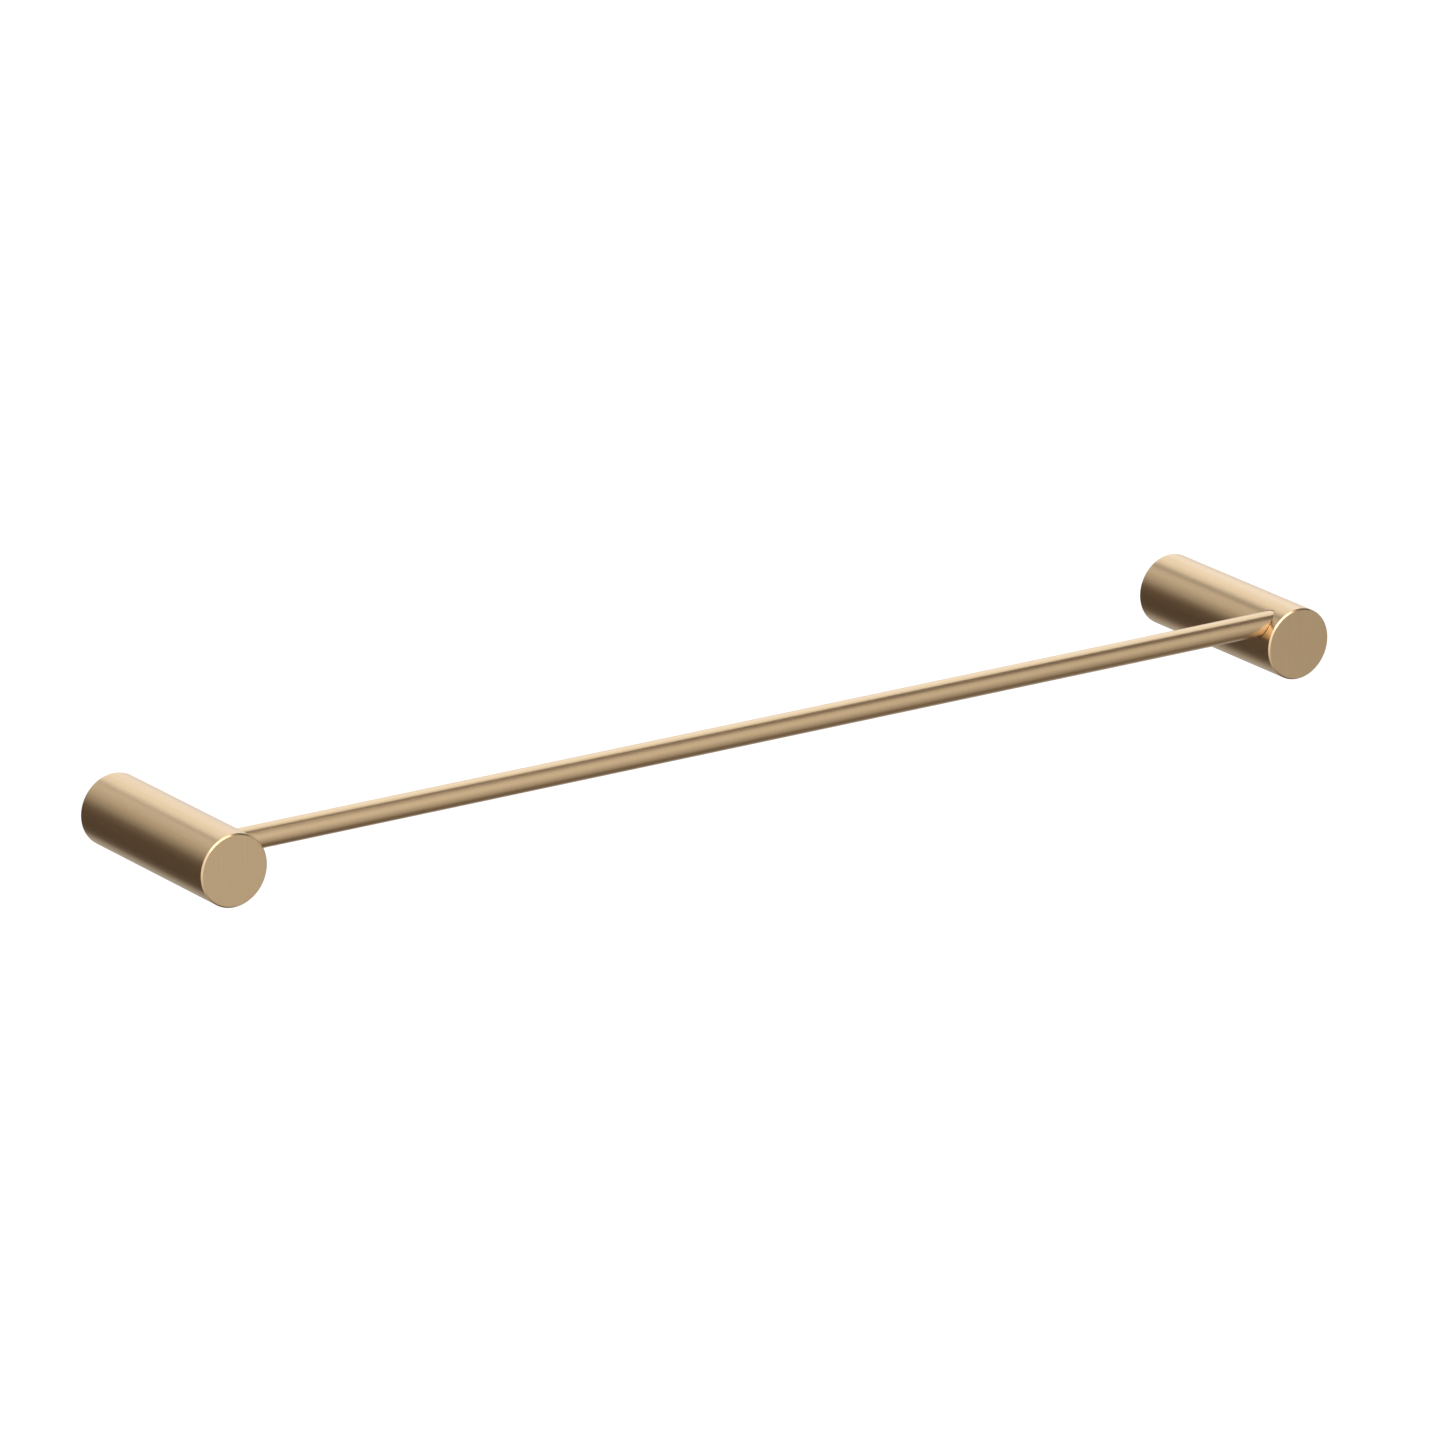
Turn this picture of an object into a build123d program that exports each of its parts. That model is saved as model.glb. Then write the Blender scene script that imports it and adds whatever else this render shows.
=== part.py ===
"""A slim towel bar: a round rod carried between two round posts that stand out from the wall.

Millimetres. X runs along the bar, +Y points into the wall and +Z is up. The origin lies on the wall,
midway between the posts and level with their axes, so the posts reach from y = 0 out to -Y.
"""

import os
from math import sqrt

from build123d import *

# Overall sizes: the bar measures post_centres + post_diameter from end to end
post_centres = 425.0
post_diameter = 25.0
post_projection = 75.0
bar_diameter = 8.0

# Post, turned from one bar and bored out from the wall side
post_wall = 2.4
front_edge_chamfer = 0.5
wall_edge_chamfer = 0.3
bore_edge_chamfer = 0.5

# Socket that takes the end of the bar, high up and close behind the front face
socket_top_wall = 1.5
socket_front_wall = 3.5
socket_past_axis = 3.5
socket_clearance = 0.15
bar_end_gap = 0.1
bar_end_chamfer = 0.5

# Set screw that holds the bar, driven from inside the post
bar_screw_diameter = 4.0
bar_screw_length = 8.0
bar_screw_web = 8.5
bar_screw_inset = 4.5
bar_screw_tip_gap = 0.05
bar_seat_diameter = 4.5
bar_seat_depth = 0.5

# Wall bracket, a notched disc that the post slips over
bracket_thickness = 10.0
bracket_clearance = 0.1
bracket_edge_chamfer = 0.4
wall_screw_spacing = 9.0
wall_screw_hole = 4.2

# Cone-point screw under each post that draws it onto its bracket
lock_screw_diameter = 4.0
lock_screw_length = 4.0
lock_screw_recess = 0.5
lock_screw_tip_gap = 0.15

# Both kinds of screw
screw_hole_clearance = 0.05
screw_end_chamfer = 0.4
hex_key = 2.0
hex_socket_depth = 2.0

# Places worked out from the sizes above
post_axis_x = post_centres / 2
post_radius = post_diameter / 2
bar_radius = bar_diameter / 2
bar_y = -(post_projection - socket_front_wall - bar_radius)
bar_z = post_radius - socket_top_wall - bar_radius
socket_floor_x = post_axis_x + socket_past_axis
bar_end_x = socket_floor_x - bar_end_gap

bore_radius = post_radius - post_wall
bore_depth = post_projection - socket_front_wall - bar_diameter - bar_screw_web

bar_screw_x = bar_end_x - bar_screw_inset
bar_seat_y = bar_y + sqrt(bar_radius**2 - (bar_seat_diameter / 2) ** 2) - bar_seat_depth
bar_screw_tip_y = bar_seat_y + bar_screw_tip_gap
bar_screw_outer_y = bar_screw_tip_y + bar_screw_length

bracket_radius = bore_radius - bracket_clearance
lock_screw_y = -bracket_thickness / 2
lock_screw_outer_z = -(post_radius - lock_screw_recess)
lock_screw_tip_z = lock_screw_outer_z + lock_screw_length
notch_bottom_z = lock_screw_tip_z + lock_screw_tip_gap
notch_depth = bracket_radius + notch_bottom_z

SIDES = {"left": -1, "right": 1}


def wall_plane(x, distance=0.0):
    """Plane parallel to the wall, facing the room: its X is the bar's direction and its Y is up."""
    return Plane(origin=(x, -distance, 0), x_dir=(1, 0, 0), z_dir=(0, -1, 0))


os.makedirs("parts", exist_ok=True)


# Bar: a round rod with chamfered ends and a spot seat on its back for each set screw
with BuildPart() as bar:
    with BuildSketch(Plane.YZ.offset(-bar_end_x)):
        with Locations((bar_y, bar_z)):
            Circle(bar_radius)
    extrude(amount=2 * bar_end_x)
    chamfer(bar.edges().filter_by(GeomType.CIRCLE), bar_end_chamfer)
    with BuildSketch(Plane(origin=(0, bar_seat_y, bar_z), x_dir=(1, 0, 0), z_dir=(0, 1, 0))):
        with Locations((-bar_screw_x, 0), (bar_screw_x, 0)):
            Circle(bar_seat_diameter / 2)
    extrude(amount=bar_radius, mode=Mode.SUBTRACT)
bar.part.label = "bar"
export_step(bar.part, "parts/bar.step")


for name, side in SIDES.items():
    post_x = side * post_axis_x

    # Post: a half section turned about its axis and chamfered, then drilled for the bar and for both screws
    with BuildPart() as post:
        with BuildSketch(Plane(origin=(post_x, 0, 0), x_dir=(1, 0, 0), z_dir=(0, 0, -1))):
            with BuildLine():
                Polyline(
                    (bore_radius, 0),
                    (post_radius, 0),
                    (post_radius, post_projection),
                    (0, post_projection),
                    (0, bore_depth),
                    (bore_radius, bore_depth),
                    close=True,
                )
            make_face()
        revolve(axis=Axis((post_x, 0, 0), (0, -1, 0)))
        rims = post.edges().filter_by(GeomType.CIRCLE).group_by(Axis.Y)
        bore_edge, wall_edge = rims[-1].sort_by(SortBy.RADIUS)
        chamfer(rims[0], front_edge_chamfer)
        chamfer(wall_edge, wall_edge_chamfer)
        chamfer(bore_edge, bore_edge_chamfer)
        with BuildSketch(Plane(origin=(side * socket_floor_x, bar_y, bar_z), z_dir=(-side, 0, 0))):
            Circle(bar_radius + socket_clearance)
        extrude(amount=socket_past_axis + post_radius, mode=Mode.SUBTRACT)
        with BuildSketch(wall_plane(side * bar_screw_x, bore_depth)):
            with Locations((0, bar_z)):
                Circle(bar_screw_diameter / 2 + screw_hole_clearance)
        extrude(amount=bar_screw_web + bar_radius, mode=Mode.SUBTRACT)
        with BuildSketch(Plane(origin=(post_x, lock_screw_y, 0), z_dir=(0, 0, -1))):
            Circle(lock_screw_diameter / 2 + screw_hole_clearance)
        extrude(amount=post_radius, mode=Mode.SUBTRACT)
    post.part.label = f"{name}_post"
    export_step(post.part, f"parts/{name}_post.step")

    # Wall bracket: a disc with two holes for the wall screws and a V-notch across its underside
    with BuildPart() as bracket:
        with BuildSketch(wall_plane(post_x)):
            Circle(bracket_radius)
        extrude(amount=bracket_thickness)
        chamfer(bracket.edges().filter_by(GeomType.CIRCLE), bracket_edge_chamfer)
        with Locations(wall_plane(post_x, bracket_thickness)):
            with GridLocations(0, wall_screw_spacing, 1, 2):
                Hole(wall_screw_hole / 2)
        with BuildSketch(Plane(origin=(post_x, lock_screw_y, 0), x_dir=(0, 1, 0), z_dir=(1, 0, 0))):
            with BuildLine():
                Polyline(
                    (0, notch_bottom_z),
                    (-notch_depth, -bracket_radius),
                    (notch_depth, -bracket_radius),
                    close=True,
                )
            make_face()
        extrude(amount=bracket_radius, both=True, mode=Mode.SUBTRACT)
    bracket.part.label = f"{name}_wall_bracket"
    export_step(bracket.part, f"parts/{name}_wall_bracket.step")


# Lock screws: headless, with a hexagon socket below and a cone point that seats in the bracket's notch
with BuildPart() as lock_screws:
    with BuildSketch(Plane(origin=(post_axis_x, lock_screw_y, 0), x_dir=(1, 0, 0), z_dir=(0, -1, 0))):
        with BuildLine():
            Polyline(
                (0, lock_screw_outer_z),
                (lock_screw_diameter / 2 - screw_end_chamfer, lock_screw_outer_z),
                (lock_screw_diameter / 2, lock_screw_outer_z + screw_end_chamfer),
                (lock_screw_diameter / 2, lock_screw_tip_z - lock_screw_diameter / 2),
                (0, lock_screw_tip_z),
                close=True,
            )
        make_face()
    revolve(axis=Axis((post_axis_x, lock_screw_y, 0), (0, 0, 1)))
    with BuildSketch(Plane(origin=(post_axis_x, lock_screw_y, lock_screw_outer_z))):
        RegularPolygon(hex_key / 2, 6, major_radius=False)
    extrude(amount=hex_socket_depth, mode=Mode.SUBTRACT)
    mirror(about=Plane.YZ)
lock_screws.part.label = "post_lock_screws"
export_step(lock_screws.part, "parts/post_lock_screws.step")


# Bar set screws: headless and flat-pointed, tightened through the bore before the post goes on the wall
with BuildPart() as bar_screws:
    with BuildSketch(wall_plane(bar_screw_x, -bar_screw_outer_y)):
        with Locations((0, bar_z)):
            Circle(bar_screw_diameter / 2)
    extrude(amount=bar_screw_length)
    chamfer(bar_screws.edges().filter_by(GeomType.CIRCLE), screw_end_chamfer)
    with BuildSketch(wall_plane(bar_screw_x, -bar_screw_outer_y)):
        with Locations((0, bar_z)):
            RegularPolygon(hex_key / 2, 6, major_radius=False)
    extrude(amount=hex_socket_depth, mode=Mode.SUBTRACT)
    mirror(about=Plane.YZ)
bar_screws.part.label = "bar_set_screws"
export_step(bar_screws.part, "parts/bar_set_screws.step")
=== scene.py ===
"""Slim towel bar: finishes, screw threads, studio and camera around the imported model.

Metres, with +X along the bar, +Y into the wall and +Z up.
"""

from math import cos, pi, radians, sin

import bpy
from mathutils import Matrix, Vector


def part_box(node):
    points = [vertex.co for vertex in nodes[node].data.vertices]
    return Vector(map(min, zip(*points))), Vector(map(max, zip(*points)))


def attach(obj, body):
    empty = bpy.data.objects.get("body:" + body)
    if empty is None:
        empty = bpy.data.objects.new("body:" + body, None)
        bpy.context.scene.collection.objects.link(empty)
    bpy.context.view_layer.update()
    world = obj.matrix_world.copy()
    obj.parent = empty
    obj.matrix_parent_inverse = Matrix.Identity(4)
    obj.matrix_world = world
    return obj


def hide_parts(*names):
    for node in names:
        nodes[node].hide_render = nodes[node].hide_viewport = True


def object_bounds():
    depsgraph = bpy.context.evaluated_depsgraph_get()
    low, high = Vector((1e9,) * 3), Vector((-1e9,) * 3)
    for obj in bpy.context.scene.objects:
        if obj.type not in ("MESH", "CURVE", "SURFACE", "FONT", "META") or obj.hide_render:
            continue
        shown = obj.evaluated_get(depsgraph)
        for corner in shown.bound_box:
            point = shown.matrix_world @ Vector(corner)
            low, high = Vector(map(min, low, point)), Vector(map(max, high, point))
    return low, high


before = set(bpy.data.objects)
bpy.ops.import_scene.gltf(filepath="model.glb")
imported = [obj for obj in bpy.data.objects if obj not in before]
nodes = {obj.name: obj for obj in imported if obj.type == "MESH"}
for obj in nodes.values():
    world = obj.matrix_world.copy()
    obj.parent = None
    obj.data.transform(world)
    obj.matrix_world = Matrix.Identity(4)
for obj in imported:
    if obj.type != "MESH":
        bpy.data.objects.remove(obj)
cad_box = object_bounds()

# Finishes: colours are linear, and a swing is the share by which marks change a colour or a roughness
BRONZE = (0.812, 0.584, 0.337)
BRACKET_STEEL = (0.56, 0.55, 0.53)
SCREW_STEEL = (0.42, 0.41, 0.40)
BRONZE_ROUGHNESS = 0.28
STEEL_ROUGHNESS = 0.33
TONE_SWING = 0.03
GLOSS_SWING = 0.02

# Tool marks: a grain is the size of its marks along X, Y and Z
FINE = 0.0002
BROAD = 0.001
LONG = 0.06
POST_GRAIN = (BROAD, LONG, BROAD)
FACE_GRAIN = (BROAD, BROAD, LONG)
BAR_GRAIN = (FINE, LONG, LONG)
SCREW_GRAIN = (FINE, FINE, FINE)
TURNED_RINGS = 60
POST_MARK_DEPTH = 0.000005
BAR_MARK_DEPTH = 0.000001
STEEL_MARK_DEPTH = 0.000005
MARK_STRENGTH = 0.3

# Noise behind the marks, and how near to Y the normal of a flat face lies
NOISE_DETAIL = 3.0
NOISE_ROUGHNESS = 0.6
NOISE_LOW = 0.3
NOISE_HIGH = 0.7
SQUARE_TO_Y = 0.95

# Set screws: M4 threads and hexagon sockets
SCREW_RADIUS = 0.002
SCREW_CHAMFER = 0.0004
THREAD_PITCH = 0.0007
THREAD_DEPTH = 0.00043
SOCKET_HALF_WIDTH = 0.001
SOCKET_DEPTH = 0.002
SCREW_SIDES = 48
ROWS_PER_TURN = 16
CREASE_ANGLE = radians(45)

# Camera, found from the outline of the object in the photograph
FRAME_PIXELS = 1440
FOCAL_PIXELS = 12244.35
SENSOR_WIDTH = 36.0
CAMERA_AZIMUTH = radians(-33.978)
CAMERA_ELEVATION = radians(18.2176)
CAMERA_DISTANCE = 4.07533
CAMERA_RIGHT = 0.0006158
CAMERA_UP = 0.0016489

# Studio: every card stands about this far from the object, and the window lies in this direction
STUDIO = 4.5
WINDOW_AZIMUTH = radians(28.4)

# Floor below the cards
FLOOR_SIZE = 60.0
FLOOR_HEIGHT = -1.05 * STUDIO
FLOOR_WHITE = (0.8, 0.8, 0.8, 1)
FLOOR_GLOW = 0.3

# Tint of the painted light and shade on the cards, as stops of (level, share)
GREEN_SHARE = [(0.08, 0.78), (0.4, 1.0), (0.7, 1.0), (1.3, 1.03)]
BLUE_SHARE = [(0.08, 0.66), (0.4, 0.98), (0.7, 1.0), (1.3, 1.22)]

# Upright cards of painted light and shade in studio units, with levels and shares of them as stops of
# (place, level)
LEFT_ENDS = (-1.4, 0.4)
LEFT_FOOT = -1.06
LEFT_LEVELS = [(-0.07, 0.08), (0.1, 0.12), (0.4, 0.44), (0.88, 0.86)]
FRONT_DISTANCE = 1.17
FRONT_TOP = 1.6
FRONT_LEVELS = [(-1.0, 0.45), (-0.4, 0.51), (0.17, 0.675)]
FRONT_SHARE = [(-1.4, 1.95), (-0.4, 2.0), (0.75, 1.0), (2.0, 0.06)]
BACK_DISTANCE = 1.3
BACK_LEVELS = [(-1.0, 0.4), (-0.45, 0.45), (-0.2, 0.7), (-0.05, 0.82), (0.2, 1.0)]
BACK_SHARE = [(-1.6, 0.5), (-0.3, 0.5), (0.2, 1.0), (0.8, 1.0)]
RIGHT_ENDS = (-1.6, -0.1)
RIGHT_HEIGHTS = (0.2, 0.8)
RIGHT_LEVEL = 0.48

# Ceiling card of painted shade in studio units: its levels go with Y, and its back edge is given as (x,
# y)
CEILING_STEPS = 8
CEILING_FRONT = -0.9
CEILING_LEVELS = [(-0.9, 0.3), (-0.6, 0.15), (-0.35, 0.08), (-0.15, 0.09), (0.0, 0.08), (0.5, 0.24)]
CEILING_BACK = [
    (-1.0, 1.4),
    (-0.25, 1.4),
    (-0.08, 1.55),
    (0.0, 1.5),
    (0.07, 1.18),
    (0.4, 0.09),
    (0.64, -0.05),
    (1.3, 0.25),
    (2.2, 0.5),
]

# Floor card of painted floor shade in studio units: each set of levels goes with the distance along its
# axis
SHADE_STEPS = 48
SHADE_REACH = 4.0
WINDOW_SHADE_AXIS = Vector((0.8, 0.6, 0))
WINDOW_SHADE = [(0.3, 0.07), (0.44, 0.09), (0.51, 0.13), (0.69, 0.27), (0.86, 0.45), (1.05, 0.5)]
FRONT_SHADE_AXIS = Vector((-0.6, -0.8, 0))
FRONT_SHADE = [(-0.3, 0.08), (-0.1, 0.14), (0.12, 0.26), (0.6, 0.5), (2.0, 0.8)]

# Soft boxes, with sizes and places in studio units
KEY_COLOUR = (1.0, 1.0, 1.05)
KEY_LEVEL = 2.25
KEY_SIZE = (1.04, 0.36)
KEY_PLACE = (-0.125, -0.55, 0.79)
KEY_ROLL = radians(20)
DAYLIGHT = (0.4, 0.8, 1.4)
WINDOW_LEVEL = 0.24
WINDOW_SIZE = (1.13, 1.0)
WINDOW_HEIGHT = 0.8
SKY_LEVEL = 0.12
SKY_SIZE = (0.8, 0.6)
SKY_PLACE = (0.3, 0.85, 0.5)


def new_material(name):
    """Empty material, with a function that adds a node to it and one that links two sockets."""
    material = bpy.data.materials.new(name)
    material.use_nodes = True
    tree = material.node_tree
    tree.nodes.clear()

    def add(kind, **settings):
        node = tree.nodes.new(kind)
        for key, value in settings.items():
            setattr(node, key, value)
        return node

    return material, add, tree.links.new


def brush_marks(add, link, place, grain):
    """Noise drawn out into marks of the size that the grain gives."""
    stretch = add("ShaderNodeMapping")
    stretch.inputs["Scale"].default_value = [1 / size for size in grain]
    link(place.outputs["Object"], stretch.inputs["Vector"])
    noise = add("ShaderNodeTexNoise")
    noise.inputs["Scale"].default_value = 1.0
    noise.inputs["Detail"].default_value = NOISE_DETAIL
    noise.inputs["Roughness"].default_value = NOISE_ROUGHNESS
    link(stretch.outputs["Vector"], noise.inputs["Vector"])
    return noise.outputs["Fac"]


def on_faces(add, link, place, elsewhere, there):
    """One pattern on faces square to Y, and another elsewhere."""
    normal = add("ShaderNodeSeparateXYZ")
    link(place.outputs["Normal"], normal.inputs["Vector"])
    size = add("ShaderNodeMath", operation="ABSOLUTE")
    link(normal.outputs["Y"], size.inputs[0])
    square = add("ShaderNodeMath", operation="GREATER_THAN")
    square.inputs[1].default_value = SQUARE_TO_Y
    link(size.outputs["Value"], square.inputs[0])
    choose = add("ShaderNodeMix", data_type="FLOAT")
    link(square.outputs["Value"], choose.inputs["Factor"])
    link(elsewhere, choose.inputs["A"])
    link(there, choose.inputs["B"])
    return choose.outputs["Result"]


def post_pattern(add, link, place):
    """Marks along a post, and upright ones on its flat faces."""
    sides = brush_marks(add, link, place, POST_GRAIN)
    faces = brush_marks(add, link, place, FACE_GRAIN)
    return on_faces(add, link, place, sides, faces)


def bar_pattern(add, link, place):
    """Marks round the bar."""
    return brush_marks(add, link, place, BAR_GRAIN)


def screw_pattern(add, link, place):
    """Fine grain that runs no particular way."""
    return brush_marks(add, link, place, SCREW_GRAIN)


def turned_rings(add, link, place):
    """Noise in rings about the middle of a disc square to Y, whose generated places run from 0 to 1."""
    centre = add("ShaderNodeMapping")
    centre.inputs["Location"].default_value = (-0.5, 0, -0.5)
    centre.inputs["Scale"].default_value = (1, 0, 1)
    link(place.outputs["Generated"], centre.inputs["Vector"])
    radius = add("ShaderNodeVectorMath", operation="LENGTH")
    link(centre.outputs["Vector"], radius.inputs[0])
    noise = add("ShaderNodeTexNoise", noise_dimensions="1D")
    noise.inputs["Scale"].default_value = TURNED_RINGS
    noise.inputs["Detail"].default_value = NOISE_DETAIL
    link(radius.outputs["Value"], noise.inputs["W"])
    return noise.outputs["Fac"]


def spread(add, link, value, low, high):
    """The middle of a noise, spread from low to high."""
    fit = add("ShaderNodeMapRange")
    fit.inputs["From Min"].default_value = NOISE_LOW
    fit.inputs["From Max"].default_value = NOISE_HIGH
    fit.inputs["To Min"].default_value = low
    fit.inputs["To Max"].default_value = high
    link(value, fit.inputs["Value"])
    return fit.outputs["Result"]


def metal(name, colour, roughness, pattern, mark_depth):
    """Metal whose colour, gloss and surface vary a little with a pattern of tool marks."""
    material, add, link = new_material(name)
    marks = pattern(add, link, add("ShaderNodeTexCoord"))

    tone = add("ShaderNodeMix", data_type="RGBA")
    tone.inputs["A"].default_value = [c * (1 - TONE_SWING) for c in colour] + [1]
    tone.inputs["B"].default_value = [c * (1 + TONE_SWING) for c in colour] + [1]
    link(spread(add, link, marks, 0, 1), tone.inputs["Factor"])

    bump = add("ShaderNodeBump")
    bump.inputs["Strength"].default_value = MARK_STRENGTH
    bump.inputs["Distance"].default_value = mark_depth
    link(marks, bump.inputs["Height"])

    shader = add("ShaderNodeBsdfPrincipled")
    shader.inputs["Metallic"].default_value = 1.0
    link(tone.outputs["Result"], shader.inputs["Base Color"])
    gloss = spread(add, link, marks, roughness * (1 - GLOSS_SWING), roughness * (1 + GLOSS_SWING))
    link(gloss, shader.inputs["Roughness"])
    link(bump.outputs["Normal"], shader.inputs["Normal"])
    output = add("ShaderNodeOutputMaterial")
    link(shader.outputs["BSDF"], output.inputs["Surface"])
    return material


def floor_paint():
    """Matt white floor that the camera and the metal see as the white background."""
    material, add, link = new_material("floor_paint")
    paint = add("ShaderNodeBsdfDiffuse")
    paint.inputs["Color"].default_value = FLOOR_WHITE
    path = add("ShaderNodeLightPath")
    mirrored = add("ShaderNodeMath", operation="MAXIMUM")
    link(path.outputs["Is Glossy Ray"], mirrored.inputs[0])
    link(path.outputs["Is Transmission Ray"], mirrored.inputs[1])
    seen = add("ShaderNodeMath", operation="MAXIMUM")
    link(path.outputs["Is Camera Ray"], seen.inputs[0])
    link(mirrored.outputs["Value"], seen.inputs[1])
    lift = add("ShaderNodeMath", operation="MULTIPLY")
    lift.inputs[1].default_value = FLOOR_GLOW
    link(seen.outputs["Value"], lift.inputs[0])
    glow = add("ShaderNodeEmission")
    link(lift.outputs["Value"], glow.inputs["Strength"])
    both = add("ShaderNodeAddShader")
    link(paint.outputs["BSDF"], both.inputs[0])
    link(glow.outputs["Emission"], both.inputs[1])
    output = add("ShaderNodeOutputMaterial")
    link(both.outputs["Shader"], output.inputs["Surface"])
    return material


def painted_light_glow():
    """Card glow that shows the colour of painted light and shade stored at each of its points."""
    material, add, link = new_material("painted_light_glow")
    colour = add("ShaderNodeAttribute", attribute_name="colour")
    glow = add("ShaderNodeEmission")
    link(colour.outputs["Color"], glow.inputs["Color"])
    output = add("ShaderNodeOutputMaterial")
    link(glow.outputs["Emission"], output.inputs["Surface"])
    return material


def mesh_object(name, points, faces, material):
    """Object of those points and faces, in one material."""
    mesh = bpy.data.meshes.new(name)
    mesh.from_pydata(points, [], faces)
    mesh.materials.append(material)
    piece = bpy.data.objects.new(name, mesh)
    bpy.context.collection.objects.link(piece)
    return piece


def set_screw(foot, axis, length, tip_radius):
    """Points and faces of one screw, from the floor of its hexagon socket out and along to its tip."""
    across = axis.orthogonal().normalized()
    beside = axis.cross(across)
    angles = [2 * pi * i / SCREW_SIDES for i in range(SCREW_SIDES)]

    def ring(height, radius):
        return [foot + axis * height + (across * cos(a) + beside * sin(a)) * radius(a) for a in angles]

    def socket(angle):
        return SOCKET_HALF_WIDTH / cos(angle % (pi / 3) - pi / 6)

    def thread(height):
        plain = min(SCREW_RADIUS - SCREW_CHAMFER + height, tip_radius + length - height)
        turn = 2 * pi * height / THREAD_PITCH
        return lambda angle: min(plain, SCREW_RADIUS - THREAD_DEPTH * (1 - cos(turn - angle)) / 2)

    # A sharp tip is a single point, so no ring is made there
    rows = round(length / THREAD_PITCH * ROWS_PER_TURN)
    last_row = rows if tip_radius else rows - 1
    heights = [length * i / rows for i in range(last_row + 1)]
    rings = [ring(SOCKET_DEPTH, socket), ring(0, socket)] + [ring(h, thread(h)) for h in heights]
    points = [p for each in rings for p in each] + [foot + axis * SOCKET_DEPTH, foot + axis * length]
    floor = len(points) - 2
    tip = len(points) - 1
    end = floor - SCREW_SIDES
    faces = []
    for i in range(SCREW_SIDES):
        j = (i + 1) % SCREW_SIDES
        faces.append((floor, j, i))
        for start in range(0, end, SCREW_SIDES):
            faces.append((start + i, start + j, start + SCREW_SIDES + j, start + SCREW_SIDES + i))
        faces.append((end + i, end + j, tip))
    return points, faces


def screw_pair(name, node, axis, tip_radius):
    """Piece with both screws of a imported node, which lie the same way at its two ends."""
    low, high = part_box(node)
    length = abs(axis.dot(high - low))
    midway = (low + high) / 2 - axis * length / 2
    points = []
    faces = []
    for x in (low.x + SCREW_RADIUS, high.x - SCREW_RADIUS):
        foot = Vector((x, midway.y, midway.z))
        screw_points, screw_faces = set_screw(foot, axis, length, tip_radius)
        faces += [[len(points) + i for i in face] for face in screw_faces]
        points += screw_points
    piece = mesh_object(name, points, faces, screw_finish)
    piece.data.shade_smooth()
    piece.data.set_sharp_from_angle(angle=CREASE_ANGLE)
    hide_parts(node)
    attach(piece, "root")


def stage_grid(name, rows, material):
    """Part of the studio: a grid through rows of points, each row as long as the next."""
    width = len(rows[0])
    points = [p for row in rows for p in row]
    faces = []
    for r in range(len(rows) - 1):
        for c in range(width - 1):
            corner = r * width + c
            faces.append((corner, corner + 1, corner + width + 1, corner + width))
    piece = mesh_object(name, points, faces, material)
    return piece


def places(stops):
    """The first number of each stop."""
    return [place for place, level in stops]


def ramp(value, stops):
    """Straight-line interpolation through stops of (place, level)."""
    if value <= stops[0][0]:
        return stops[0][1]
    for (a, low), (b, high) in zip(stops, stops[1:]):
        if value <= b:
            return low + (high - low) * (value - a) / (b - a)
    return stops[-1][1]


def painted_light_colour(level):
    """Colour of painted light and shade at that level: grey, warm where it is dark and a little cool
    where it is bright.
    """
    return level, level * ramp(level, GREEN_SHARE), level * ramp(level, BLUE_SHARE), 1.0


def card(name, across, down, place, level):
    """Graded card of painted light and shade that only reflections see: a point and a level for each
    (across, down).
    """
    piece = stage_grid(name, [[STUDIO * place(a, d) for a in across] for d in down], painted_light_material)
    colours = [channel for d in down for a in across for channel in painted_light_colour(level(a, d))]
    piece.data.attributes.new("colour", "FLOAT_COLOR", "POINT").data.foreach_set("color", colours)
    piece.visible_camera = False
    piece.visible_diffuse = False
    piece.visible_shadow = False


def behind(across, height):
    """Place on the upright plane of the back and right cards, square to the window's direction."""
    return window * BACK_DISTANCE + side * across + up * height


def ceiling_y(share, x):
    """Place that lies a share of the way from the ceiling card's front edge to its back edge."""
    return CEILING_FRONT + share * (ramp(x, CEILING_BACK) - CEILING_FRONT)


def floor_shade(x, y):
    """Painted floor shade: the brighter of two ramps, one towards the window and one towards the front
    left.
    """
    window_side = ramp(WINDOW_SHADE_AXIS.dot((x, y, 0)), WINDOW_SHADE)
    return max(window_side, ramp(FRONT_SHADE_AXIS.dot((x, y, 0)), FRONT_SHADE))


def soft_box(name, level, colour, size, place, aim, roll=0.0):
    """Area lamp that looks from its place to its aim and has the same level all over its front."""
    width, height = (STUDIO * length for length in size)
    light = bpy.data.lights.new(name, "AREA")
    light.shape = "RECTANGLE"
    light.size = width
    light.size_y = height
    light.energy = level * pi * width * height
    light.color = colour
    lamp = bpy.data.objects.new(name, light)
    lamp.location = place
    lamp.rotation_euler = (place - aim).to_track_quat("Z", "Y").to_euler()
    lamp.rotation_euler.rotate_axis("Z", roll)
    lamp.visible_camera = False
    bpy.context.collection.objects.link(lamp)


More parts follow.
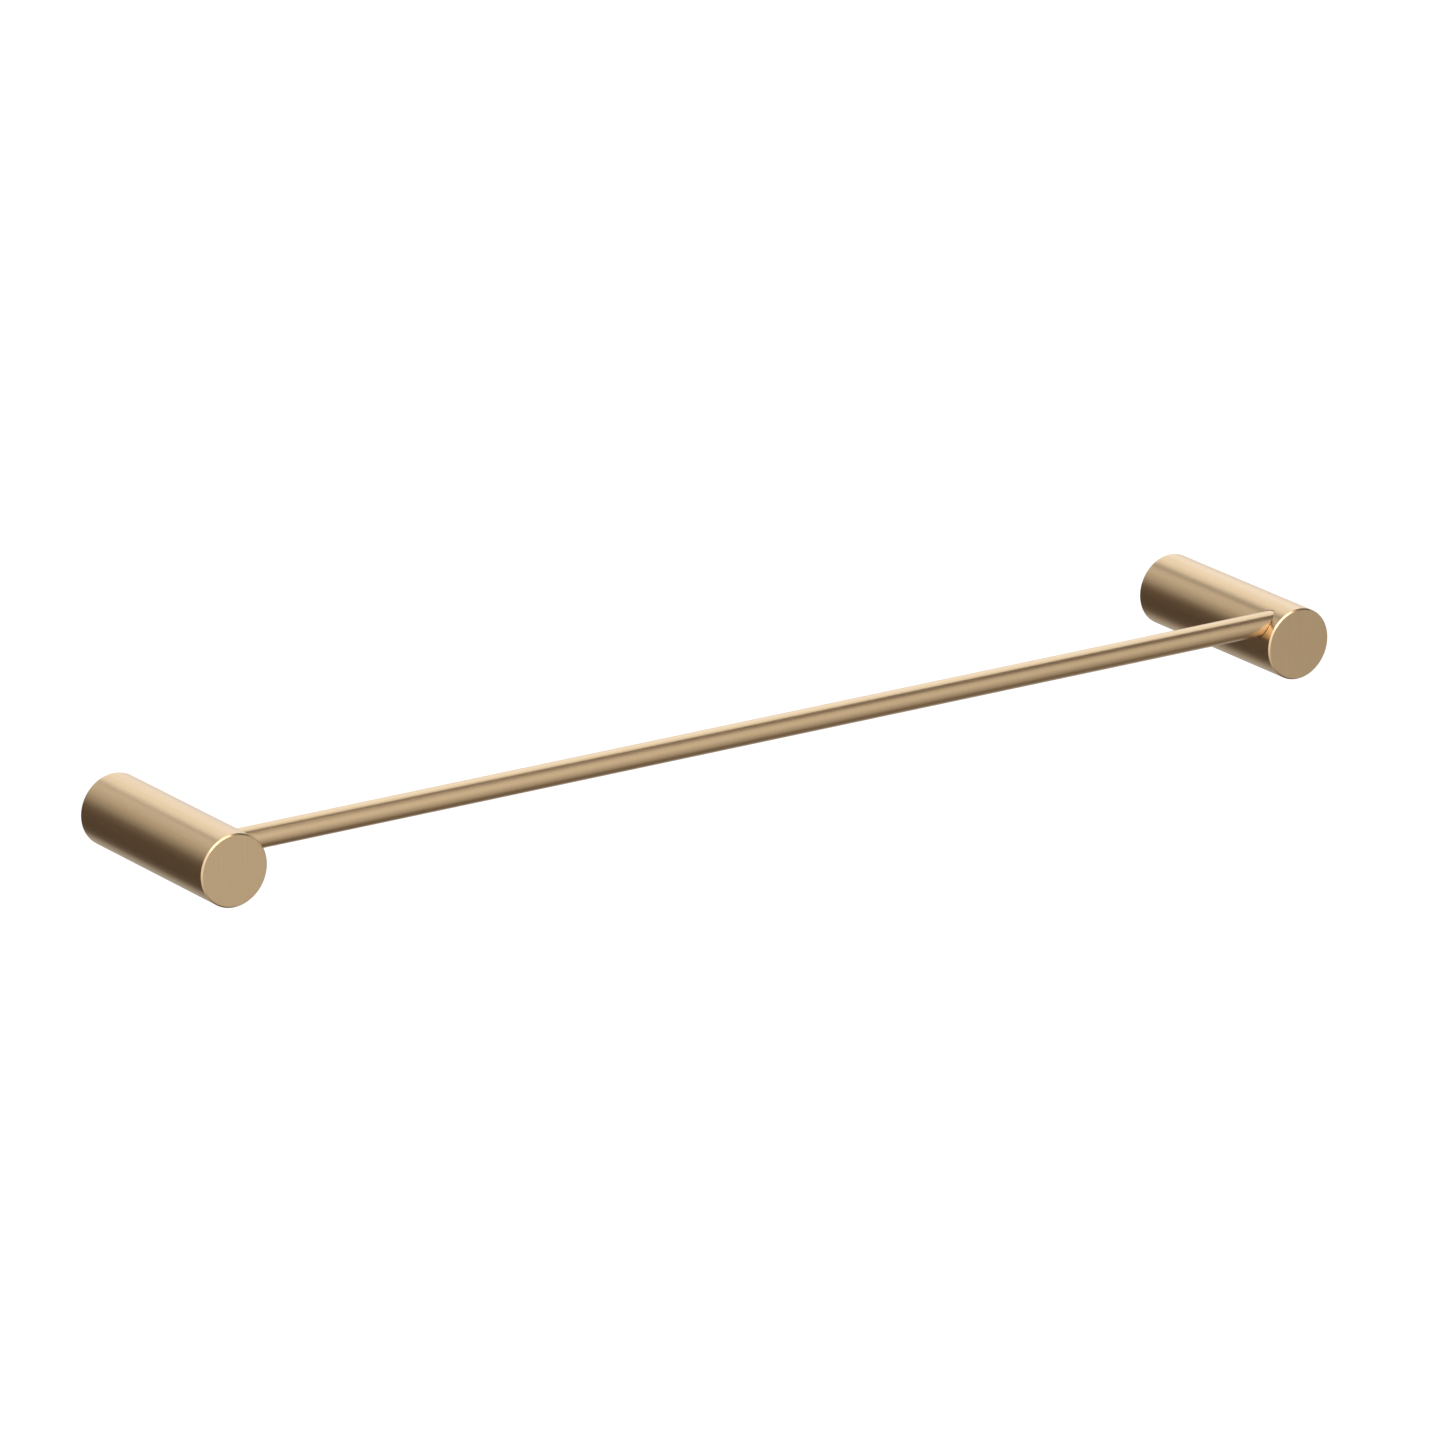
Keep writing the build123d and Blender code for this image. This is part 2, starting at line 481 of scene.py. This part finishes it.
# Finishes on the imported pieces
post_finish = metal("brushed_post_bronze", BRONZE, BRONZE_ROUGHNESS, post_pattern, POST_MARK_DEPTH)
bar_finish = metal("brushed_bar_bronze", BRONZE, BRONZE_ROUGHNESS, bar_pattern, BAR_MARK_DEPTH)
bracket_finish = metal("turned_steel", BRACKET_STEEL, STEEL_ROUGHNESS, turned_rings, STEEL_MARK_DEPTH)
screw_finish = metal("plain_steel", SCREW_STEEL, STEEL_ROUGHNESS, screw_pattern, STEEL_MARK_DEPTH)
finishes = {
    "bar": bar_finish,
    "left_post": post_finish,
    "right_post": post_finish,
    "left_wall_bracket": bracket_finish,
    "right_wall_bracket": bracket_finish,
}
for name, finish in finishes.items():
    nodes[name].material_slots[0].material = finish

# Set screws with their threads, in place of the plain packed ones: cone points below, flat points inside
up = Vector((0, 0, 1))
outward = Vector((0, -1, 0))
screw_pair("threaded_lock_screws", "post_lock_screws", up, 0.0)
screw_pair("threaded_bar_screws", "bar_set_screws", outward, SCREW_RADIUS - SCREW_CHAMFER)

# White surroundings, and the floor below the cards
world = bpy.data.worlds.new("white_studio")
bpy.context.scene.world = world
world.use_nodes = True
background = world.node_tree.nodes["Background"]
background.inputs["Color"].default_value = (1, 1, 1, 1)
background.inputs["Strength"].default_value = 1.0
floor_ends = (-FLOOR_SIZE / 2, FLOOR_SIZE / 2)
stage_grid("floor", [[(x, y, FLOOR_HEIGHT) for x in floor_ends] for y in floor_ends], floor_paint())

# Cards of painted light and shade that grade the reflections
painted_light_material = painted_light_glow()
window = Vector((cos(WINDOW_AZIMUTH), sin(WINDOW_AZIMUTH), 0))
side = Vector((-window.y, window.x, 0))
card(
    "left_card",
    LEFT_ENDS,
    [LEFT_FOOT] + places(LEFT_LEVELS),
    lambda along, height: side + window * along + up * height,
    lambda along, height: ramp(height, LEFT_LEVELS),
)
card(
    "front_card",
    places(FRONT_SHARE),
    places(FRONT_LEVELS) + [FRONT_TOP],
    lambda x, height: outward * FRONT_DISTANCE + Vector((x, 0, height)),
    lambda x, height: ramp(height, FRONT_LEVELS) * ramp(x, FRONT_SHARE),
)
card(
    "back_card",
    places(BACK_SHARE),
    places(BACK_LEVELS),
    behind,
    lambda across, height: ramp(height, BACK_LEVELS) * ramp(across, BACK_SHARE),
)
card(
    "right_card",
    RIGHT_ENDS,
    RIGHT_HEIGHTS,
    behind,
    lambda across, height: RIGHT_LEVEL,
)
card(
    "ceiling_card",
    [i / CEILING_STEPS for i in range(CEILING_STEPS + 1)],
    places(CEILING_BACK),
    lambda share, x: Vector((x, ceiling_y(share, x), 1)),
    lambda share, x: ramp(ceiling_y(share, x), CEILING_LEVELS),
)
shade_places = [SHADE_REACH * (2 * i / SHADE_STEPS - 1) for i in range(SHADE_STEPS + 1)]
card(
    "floor_shade_card",
    shade_places,
    shade_places,
    lambda x, y: Vector((x, y, -1)),
    floor_shade,
)

# A key in front, which the chamfered edges catch, and dim daylight from the window side and behind
key_place = STUDIO * Vector(KEY_PLACE)
key_aim = Vector((key_place.x, 0, 0))
soft_box("key_box", KEY_LEVEL, KEY_COLOUR, KEY_SIZE, key_place, key_aim, KEY_ROLL)
window_place = STUDIO * (window + up * WINDOW_HEIGHT)
soft_box("window_box", WINDOW_LEVEL, DAYLIGHT, WINDOW_SIZE, window_place, Vector())
sky_place = STUDIO * Vector(SKY_PLACE)
soft_box("sky_box", SKY_LEVEL, DAYLIGHT, SKY_SIZE, sky_place, Vector())

# Camera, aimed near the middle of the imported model
to_camera = Vector(
    (
        sin(CAMERA_AZIMUTH) * cos(CAMERA_ELEVATION),
        -cos(CAMERA_AZIMUTH) * cos(CAMERA_ELEVATION),
        sin(CAMERA_ELEVATION),
    )
)
to_right = Vector((cos(CAMERA_AZIMUTH), sin(CAMERA_AZIMUTH), 0))
to_top = to_camera.cross(to_right)
camera_aim = (cad_box[0] + cad_box[1]) / 2 + to_right * CAMERA_RIGHT + to_top * CAMERA_UP
lens = bpy.data.cameras.new("camera")
lens.sensor_width = SENSOR_WIDTH
lens.lens = FOCAL_PIXELS * SENSOR_WIDTH / FRAME_PIXELS
camera = bpy.data.objects.new("camera", lens)
camera.location = camera_aim + to_camera * CAMERA_DISTANCE
camera.rotation_euler = to_camera.to_track_quat("Z", "Y").to_euler()
bpy.context.collection.objects.link(camera)
bpy.context.scene.camera = camera
bpy.context.scene.view_settings.view_transform = "Standard"
